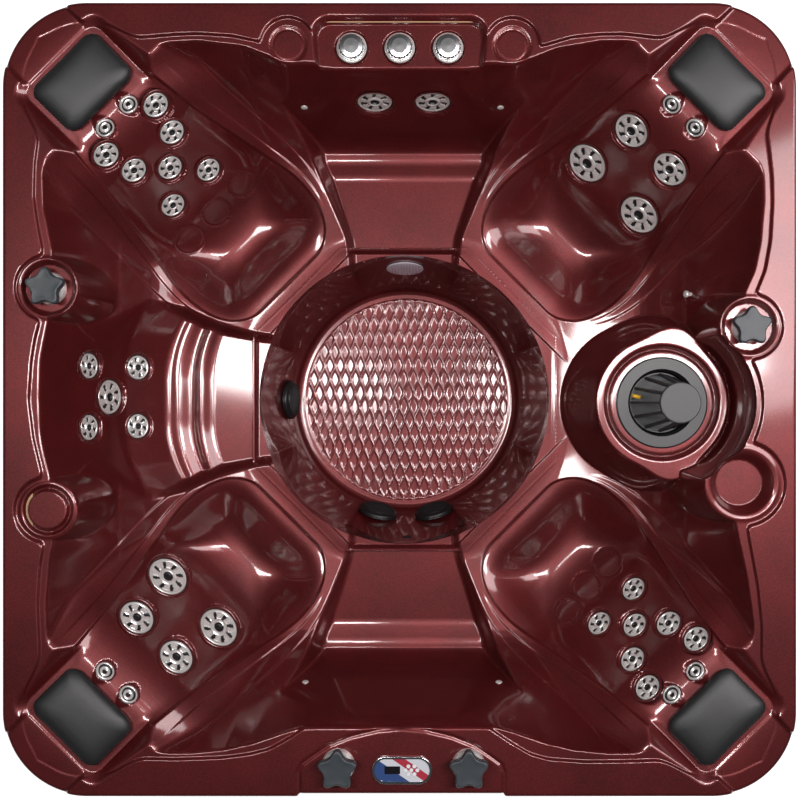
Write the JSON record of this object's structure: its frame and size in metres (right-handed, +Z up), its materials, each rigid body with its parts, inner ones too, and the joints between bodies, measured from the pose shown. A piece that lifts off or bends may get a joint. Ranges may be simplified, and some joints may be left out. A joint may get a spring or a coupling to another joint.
{
  "type": "acrylic hot tub",
  "caption": "Square moulded acrylic hot tub with corner bucket seats, jets, pillows, lift-out filter, diverter knobs, control panel, skirted frame and equipment bay",
  "frame": {"origin": "on the floor under the middle of the tub", "axes": "+Z up; -Y towards the front with the control console and access panel; +X towards the filter side"},
  "size_m": [2.134, 2.134, 0.9673],
  "materials": {
    "acrylic": "gloss acrylic, burgundy with a fine pearl fleck",
    "chrome_trim": "bright plated plastic",
    "black_plastic": "moulded",
    "knob_plastic": "satin slate grey",
    "cap_plastic": "satin grey",
    "key_rubber": "soft grey",
    "pillow_skin": "skinned charcoal foam, fine grain",
    "clear_plastic": "clear moulded",
    "filter_plastic": "moulded",
    "filter_paper": "pleated polyester",
    "cabinet_plastic": "moulded dark brown boards with a fine wood grain",
    "timber": "sawn softwood",
    "base_plastic": "formed sheet",
    "pump_paint": "satin black",
    "steel": "brushed",
    "box_plastic": "moulded",
    "pipe_plastic": "white pipe"
  },
  "bodies": {
    "tub": {"base_pan": "base_plastic", "support_frame": "timber", "cabinet_corner_posts": "cabinet_plastic", "cabinet_side_panels": "cabinet_plastic", "shell_footwell": "acrylic", "shell_filter_side": "acrylic", "shell_corner_ne": "acrylic", "shell_seat_north": "acrylic", "shell_corner_nw": "acrylic", "shell_seat_west": "acrylic", "shell_corner_sw": "acrylic", "shell_seat_south": "acrylic", "shell_corner_se": "acrylic", "shell_rim": "acrylic", "jet_bodies": "black_plastic", "cluster_jets": "chrome_trim", "neck_jets": "chrome_trim", "led_lights": "clear_plastic", "light_lens": "clear_plastic", "suction_covers": "black_plastic", "drain_fitting": "chrome_trim", "filter_collar": "black_plastic", "valve_collars": "chrome_trim", "control_panel_housing": "chrome_trim", "pillow_ne": "pillow_skin", "pillow_nw": "pillow_skin", "pillow_sw": "pillow_skin", "pillow_se": "pillow_skin", "jet_pumps": "pump_paint", "heater_tube": "steel", "control_box": "box_plastic", "plumbing": "pipe_plastic"},
    "diverter_knob_west": {"diverter_knob_west": "knob_plastic"},
    "diverter_knob_east": {"diverter_knob_east": "knob_plastic"},
    "diverter_knob_front_left": {"diverter_knob_front_left": "knob_plastic"},
    "diverter_knob_front_right": {"diverter_knob_front_right": "knob_plastic"},
    "air_knob_1": {"air_knob_1": "cap_plastic"},
    "air_knob_2": {"air_knob_2": "cap_plastic"},
    "air_knob_3": {"air_knob_3": "cap_plastic"},
    "panel_key_1": {"panel_key_1": "key_rubber"},
    "panel_key_2": {"panel_key_2": "key_rubber"},
    "panel_key_3": {"panel_key_3": "key_rubber"},
    "panel_key_4": {"panel_key_4": "key_rubber"},
    "panel_key_5": {"panel_key_5": "key_rubber"},
    "panel_key_6": {"panel_key_6": "key_rubber"},
    "panel_key_7": {"panel_key_7": "key_rubber"},
    "jet_north_1": {"jet_north_1": "chrome_trim"},
    "jet_north_2": {"jet_north_2": "chrome_trim"},
    "jet_ne_1": {"jet_ne_1": "chrome_trim"},
    "jet_ne_2": {"jet_ne_2": "chrome_trim"},
    "jet_ne_3": {"jet_ne_3": "chrome_trim"},
    "jet_ne_4": {"jet_ne_4": "chrome_trim"},
    "jet_sw_1": {"jet_sw_1": "chrome_trim"},
    "jet_sw_2": {"jet_sw_2": "chrome_trim"},
    "jet_sw_3": {"jet_sw_3": "chrome_trim"},
    "jet_sw_4": {"jet_sw_4": "chrome_trim"},
    "jet_west_centre": {"jet_west_centre": "chrome_trim"},
    "filter_assembly": {"filter_basket": "filter_plastic", "filter_cartridge": "filter_paper"},
    "access_panel": {"access_panel": "cabinet_plastic"}
  },
  "joints": [
    {"name": "diverter_turn_west", "type": "hinge", "parent": "tub", "child": "diverter_knob_west", "pos_m": [-0.945, 0.3, 0.914], "axis": [0, 0, 1], "range_deg": [-90, 90]},
    {"name": "diverter_turn_east", "type": "hinge", "parent": "tub", "child": "diverter_knob_east", "pos_m": [0.941, 0.196, 0.914], "axis": [0, 0, 1], "range_deg": [-90, 90]},
    {"name": "diverter_turn_front_left", "type": "hinge", "parent": "tub", "child": "diverter_knob_front_left", "pos_m": [-0.164, -0.98, 0.941], "axis": [0, 0, 1], "range_deg": [-90, 90]},
    {"name": "diverter_turn_front_right", "type": "hinge", "parent": "tub", "child": "diverter_knob_front_right", "pos_m": [0.185, -0.98, 0.941], "axis": [0, 0, 1], "range_deg": [-90, 90]},
    {"name": "air_turn_1", "type": "hinge", "parent": "tub", "child": "air_knob_1", "pos_m": [-0.13, 0.95, 0.893], "axis": [0, 0, 1], "range_deg": [-60, 60]},
    {"name": "air_turn_2", "type": "hinge", "parent": "tub", "child": "air_knob_2", "pos_m": [0, 0.95, 0.893], "axis": [0, 0, 1], "range_deg": [-60, 60]},
    {"name": "air_turn_3", "type": "hinge", "parent": "tub", "child": "air_knob_3", "pos_m": [0.131, 0.95, 0.893], "axis": [0, 0, 1], "range_deg": [-60, 60]},
    {"name": "key_press_1", "type": "slide", "parent": "tub", "child": "panel_key_1", "axis": [0, 0, -1], "range_m": [0, 0.001], "stiffness_N_per_m": 500, "springref_m": -0.0005},
    {"name": "key_press_2", "type": "slide", "parent": "tub", "child": "panel_key_2", "axis": [0, 0, -1], "range_m": [0, 0.001], "stiffness_N_per_m": 500, "springref_m": -0.0005},
    {"name": "key_press_3", "type": "slide", "parent": "tub", "child": "panel_key_3", "axis": [0, 0, -1], "range_m": [0, 0.001], "stiffness_N_per_m": 500, "springref_m": -0.0005},
    {"name": "key_press_4", "type": "slide", "parent": "tub", "child": "panel_key_4", "axis": [0, 0, -1], "range_m": [0, 0.001], "stiffness_N_per_m": 500, "springref_m": -0.0005},
    {"name": "key_press_5", "type": "slide", "parent": "tub", "child": "panel_key_5", "axis": [0, 0, -1], "range_m": [0, 0.001], "stiffness_N_per_m": 500, "springref_m": -0.0005},
    {"name": "key_press_6", "type": "slide", "parent": "tub", "child": "panel_key_6", "axis": [0, 0, -1], "range_m": [0, 0.001], "stiffness_N_per_m": 500, "springref_m": -0.0005},
    {"name": "key_press_7", "type": "slide", "parent": "tub", "child": "panel_key_7", "axis": [0, 0, -1], "range_m": [0, 0.001], "stiffness_N_per_m": 500, "springref_m": -0.0005},
    {"name": "jet_turn_north_1", "type": "hinge", "parent": "tub", "child": "jet_north_1", "pos_m": [-0.076, 0.84198, 0.727], "axis": [0, -0.958, 0.2869], "range_deg": [0, 120]},
    {"name": "jet_turn_north_2", "type": "hinge", "parent": "tub", "child": "jet_north_2", "pos_m": [0.089, 0.84198, 0.727], "axis": [0, -0.958, 0.2869], "range_deg": [0, 120]},
    {"name": "jet_turn_ne_1", "type": "hinge", "parent": "tub", "child": "jet_ne_1", "pos_m": [0.54306, 0.69579, 0.60409], "axis": [-0.5711, -0.5711, 0.5897], "range_deg": [0, 120]},
    {"name": "jet_turn_ne_2", "type": "hinge", "parent": "tub", "child": "jet_ne_2", "pos_m": [0.69579, 0.54306, 0.60409], "axis": [-0.5711, -0.5711, 0.5897], "range_deg": [0, 120]},
    {"name": "jet_turn_ne_3", "type": "hinge", "parent": "tub", "child": "jet_ne_3", "pos_m": [0.64559, 0.75448, 0.76022], "axis": [-0.5711, -0.5711, 0.5897], "range_deg": [0, 120]},
    {"name": "jet_turn_ne_4", "type": "hinge", "parent": "tub", "child": "jet_ne_4", "pos_m": [0.75448, 0.64559, 0.76022], "axis": [-0.5711, -0.5711, 0.5897], "range_deg": [0, 120]},
    {"name": "jet_turn_sw_1", "type": "hinge", "parent": "tub", "child": "jet_sw_1", "pos_m": [-0.69579, -0.52326, 0.58491], "axis": [0.5711, 0.5711, 0.5897], "range_deg": [0, 120]},
    {"name": "jet_turn_sw_2", "type": "hinge", "parent": "tub", "child": "jet_sw_2", "pos_m": [-0.54447, -0.67458, 0.58491], "axis": [0.5711, 0.5711, 0.5897], "range_deg": [0, 120]},
    {"name": "jet_turn_sw_3", "type": "hinge", "parent": "tub", "child": "jet_sw_3", "pos_m": [-0.75024, -0.6173, 0.72872], "axis": [0.5711, 0.5711, 0.5897], "range_deg": [0, 120]},
    {"name": "jet_turn_sw_4", "type": "hinge", "parent": "tub", "child": "jet_sw_4", "pos_m": [-0.63781, -0.72973, 0.72872], "axis": [0.5711, 0.5711, 0.5897], "range_deg": [0, 120]},
    {"name": "jet_turn_west_centre", "type": "hinge", "parent": "tub", "child": "jet_west_centre", "pos_m": [-0.85009, 0.007, 0.645], "axis": [0.9131, 0, 0.4077], "range_deg": [0, 120]},
    {"name": "filter_lift", "type": "slide", "parent": "tub", "child": "filter_assembly", "axis": [0, 0, 1], "range_m": [0, 0.45]},
    {"name": "access_panel_pull", "type": "slide", "parent": "tub", "child": "access_panel", "axis": [0, -1, 0], "range_m": [0, 0.3]}
  ]
}
